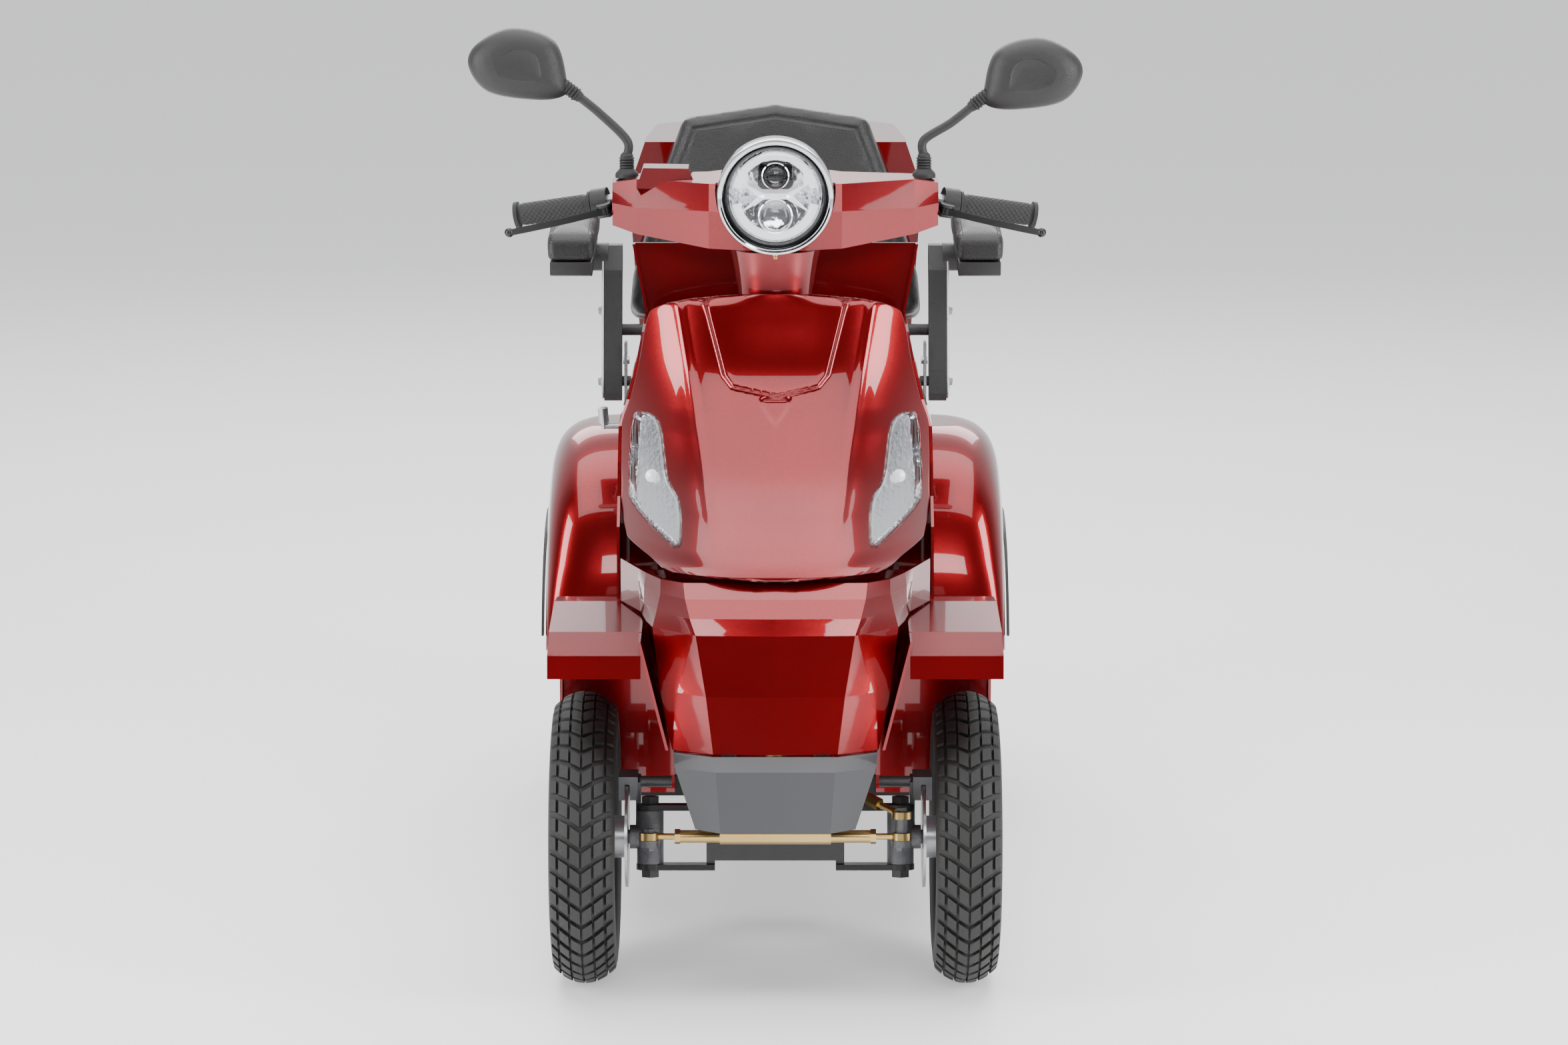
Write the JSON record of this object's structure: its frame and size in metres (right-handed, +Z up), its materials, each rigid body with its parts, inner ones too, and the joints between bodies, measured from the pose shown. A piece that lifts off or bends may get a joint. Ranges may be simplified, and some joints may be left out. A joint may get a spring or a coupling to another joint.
{
  "type": "mobility scooter",
  "caption": "Seated electric mobility scooter with handlebar steering, bodywork, padded seat with lifting armrests and a lidded rear trunk",
  "frame": {"origin": "on the ground, in the middle of the overall length and width", "axes": "+Z up; the front faces -Y; +X is the rider's left, across the width"},
  "size_m": [0.8862, 1.72, 1.3315],
  "materials": {
    "alloy": "satin",
    "battery": "matte",
    "black_gloss": "gloss",
    "black_plastic": "grained",
    "cast_grey": "rough",
    "chrome": "polished",
    "frame_paint": "satin",
    "grey_panel": "satin metallic",
    "leather": "grained",
    "lens_clear": "clear",
    "lens_red": "clear red",
    "red": "metallic gloss",
    "rubber": "moulded",
    "silver_plate": "satin silver",
    "steel": "brushed",
    "tyre": "moulded",
    "zinc_gold": "passivated"
  },
  "bodies": {
    "chassis": {"main_frame": "frame_paint", "front_axle": "frame_paint", "front_bumper": "grey_panel", "nose_cover": "red", "front_hood": "red", "turn_lenses": "lens_clear", "front_fenders": "red", "knee_panel": "red", "floor_pan": "black_plastic", "floor_mat": "rubber", "rear_body": "red", "rear_fenders": "red", "fender_flares": "black_plastic", "tail_lamps": "lens_red", "battery_pack": "battery", "seat_post": "frame_paint", "trunk_tub": "red", "shock_covers": "chrome"},
    "trunk_lid": {"trunk_lid": "red"},
    "rear_axle": {"swing_arm": "frame_paint", "drive_unit": "cast_grey", "shock_bodies": "black_gloss"},
    "steering": {"steering_column": "steel", "handlebar": "steel", "handlebar_cowl": "red", "neck_cover": "red", "headlight_bowl": "black_gloss", "headlight_bezel": "chrome", "headlight_lens": "lens_clear", "left_grip": "rubber", "switch_housings": "black_plastic"},
    "throttle": {"throttle_grip": "rubber"},
    "left_brake_lever": {"left_brake_lever": "black_gloss"},
    "right_brake_lever": {"right_brake_lever": "black_gloss"},
    "left_knuckle": {"left_knuckle": "cast_grey"},
    "right_knuckle": {"right_knuckle": "cast_grey"},
    "tie_rod": {"tie_rod": "zinc_gold"},
    "drag_link": {"drag_link": "zinc_gold"},
    "seat": {"seat_pan": "steel", "seat_cushion": "leather"},
    "seat_lever": {"seat_lever": "steel"},
    "backrest": {"back_frame": "silver_plate", "backrest_cushion": "leather"},
    "left_armrest": {"left_armrest": "leather"},
    "right_armrest": {"right_armrest": "leather"},
    "horn_button": {"horn_button": "black_gloss"},
    "light_switch": {"light_switch": "black_gloss"},
    "ignition_key": {"ignition_key": "steel"},
    "front_left_wheel": {"front_left_rim": "alloy", "front_left_tyre": "tyre"},
    "rear_left_wheel": {"rear_left_rim": "alloy", "rear_left_tyre": "tyre"},
    "left_mirror_arm": {"left_mirror_stem": "black_plastic"},
    "left_mirror_head": {"left_mirror": "black_plastic"},
    "front_right_wheel": {"front_right_rim": "alloy", "front_right_tyre": "tyre"},
    "rear_right_wheel": {"rear_right_rim": "alloy", "rear_right_tyre": "tyre"},
    "right_mirror_arm": {"right_mirror_stem": "black_plastic"},
    "right_mirror_head": {"right_mirror": "black_plastic"}
  },
  "joints": [
    {"name": "steer", "type": "hinge", "parent": "chassis", "child": "steering", "pos_m": [0, -0.372, 1.085], "axis": [0, 0.1392, 0.9903], "range_deg": [-25, 25]},
    {"name": "left_kingpin", "type": "hinge", "parent": "chassis", "child": "left_knuckle", "pos_m": [0.178, -0.63, 0.208], "axis": [0, 0.1392, 0.9903], "range_deg": [-25, 25]},
    {"name": "right_kingpin", "type": "hinge", "parent": "chassis", "child": "right_knuckle", "pos_m": [-0.178, -0.63, 0.208], "axis": [0, 0.1392, 0.9903], "range_deg": [-25, 25]},
    {"name": "tie_rod_pivot", "type": "hinge", "parent": "left_knuckle", "child": "tie_rod", "pos_m": [0.178, -0.69622, 0.22539], "axis": [0, 0.1392, 0.9903], "range_deg": [-25, 25]},
    {"name": "drag_link_pivot", "type": "hinge", "parent": "left_knuckle", "child": "drag_link", "pos_m": [0.178, -0.69205, 0.25509], "axis": [0, 0.1392, 0.9903], "range_deg": [-25, 25]},
    {"name": "front_left_spin", "type": "hinge", "parent": "left_knuckle", "child": "front_left_wheel", "pos_m": [0.27, -0.63, 0.208], "axis": [1, 0, 0], "continuous": true},
    {"name": "rear_left_spin", "type": "hinge", "parent": "rear_axle", "child": "rear_left_wheel", "pos_m": [0.285, 0.52, 0.208], "axis": [1, 0, 0], "continuous": true},
    {"name": "front_right_spin", "type": "hinge", "parent": "right_knuckle", "child": "front_right_wheel", "pos_m": [-0.27, -0.63, 0.208], "axis": [1, 0, 0], "continuous": true},
    {"name": "rear_right_spin", "type": "hinge", "parent": "rear_axle", "child": "rear_right_wheel", "pos_m": [-0.285, 0.52, 0.208], "axis": [1, 0, 0], "continuous": true},
    {"name": "rear_suspension", "type": "hinge", "parent": "chassis", "child": "rear_axle", "pos_m": [0, 0.32, 0.34], "axis": [1, 0, 0], "range_deg": [-2, 4], "stiffness_Nm_per_rad": 4500},
    {"name": "throttle_twist", "type": "hinge", "parent": "steering", "child": "throttle", "pos_m": [-0.32, -0.30955, 1.06523], "axis": [-0.973, 0.1659, -0.1603], "range_deg": [0, 45], "stiffness_Nm_per_rad": 0.3},
    {"name": "left_brake", "type": "hinge", "parent": "steering", "child": "left_brake_lever", "pos_m": [0.247, -0.368, 1.071], "axis": [0.2207, 0, 0.9753], "range_deg": [0, 12], "stiffness_Nm_per_rad": 4},
    {"name": "right_brake", "type": "hinge", "parent": "steering", "child": "right_brake_lever", "pos_m": [-0.247, -0.368, 1.071], "axis": [0.2207, 0, -0.9753], "range_deg": [0, 12], "stiffness_Nm_per_rad": 4},
    {"name": "left_mirror_turn", "type": "hinge", "parent": "steering", "child": "left_mirror_arm", "pos_m": [0.215, -0.33, 1.121], "axis": [0, 0, 1], "range_deg": [-20, 20]},
    {"name": "left_mirror_tilt", "type": "hinge", "parent": "left_mirror_arm", "child": "left_mirror_head", "pos_m": [0.289, -0.336, 1.222], "axis": [0.7591, -0.067, 0.6475], "range_deg": [-15, 15]},
    {"name": "right_mirror_turn", "type": "hinge", "parent": "steering", "child": "right_mirror_arm", "pos_m": [-0.215, -0.33, 1.121], "axis": [0, 0, 1], "range_deg": [-20, 20]},
    {"name": "right_mirror_tilt", "type": "hinge", "parent": "right_mirror_arm", "child": "right_mirror_head", "pos_m": [-0.289, -0.336, 1.236], "axis": [-0.7591, -0.067, 0.6475], "range_deg": [-15, 15]},
    {"name": "trunk_lid_hinge", "type": "hinge", "parent": "chassis", "child": "trunk_lid", "pos_m": [0, 0.744, 1.00025], "axis": [-1, 0, 0], "range_deg": [0, 85]},
    {"name": "seat_slide", "type": "slide", "parent": "chassis", "child": "seat", "axis": [0, -1, 0], "range_m": [0, 0.1]},
    {"name": "seat_lever_pivot", "type": "hinge", "parent": "seat", "child": "seat_lever", "pos_m": [-0.216, 0.138, 0.668], "axis": [1, 0, 0], "range_deg": [0, 20], "stiffness_Nm_per_rad": 0.6},
    {"name": "backrest_fold", "type": "hinge", "parent": "seat", "child": "backrest", "pos_m": [0, 0.2, 0.729], "axis": [1, 0, 0], "range_deg": [0, 70]},
    {"name": "left_armrest_lift", "type": "hinge", "parent": "backrest", "child": "left_armrest", "pos_m": [0.29, 0.258, 0.917], "axis": [-1, 0, 0], "range_deg": [0, 95]},
    {"name": "right_armrest_lift", "type": "hinge", "parent": "backrest", "child": "right_armrest", "pos_m": [-0.29, 0.258, 0.917], "axis": [-1, 0, 0], "range_deg": [0, 95]},
    {"name": "horn_press", "type": "slide", "parent": "steering", "child": "horn_button", "axis": [0.168, -0.9858, 0], "range_m": [0, 0.0015], "stiffness_N_per_m": 800},
    {"name": "light_switch_slide", "type": "slide", "parent": "steering", "child": "light_switch", "axis": [-0.973, 0.1659, -0.1603], "range_m": [-0.003, 0.003]},
    {"name": "key_turn", "type": "hinge", "parent": "steering", "child": "ignition_key", "pos_m": [-0.06, -0.2955, 1.088], "axis": [0, 1, 0], "range_deg": [0, 90]}
  ],
  "couplings": [
    {"joint": "left_kingpin", "follows": "steer", "ratio": 1},
    {"joint": "right_kingpin", "follows": "steer", "ratio": 1},
    {"joint": "tie_rod_pivot", "follows": "steer", "ratio": -1},
    {"joint": "drag_link_pivot", "follows": "steer", "ratio": -1}
  ]
}
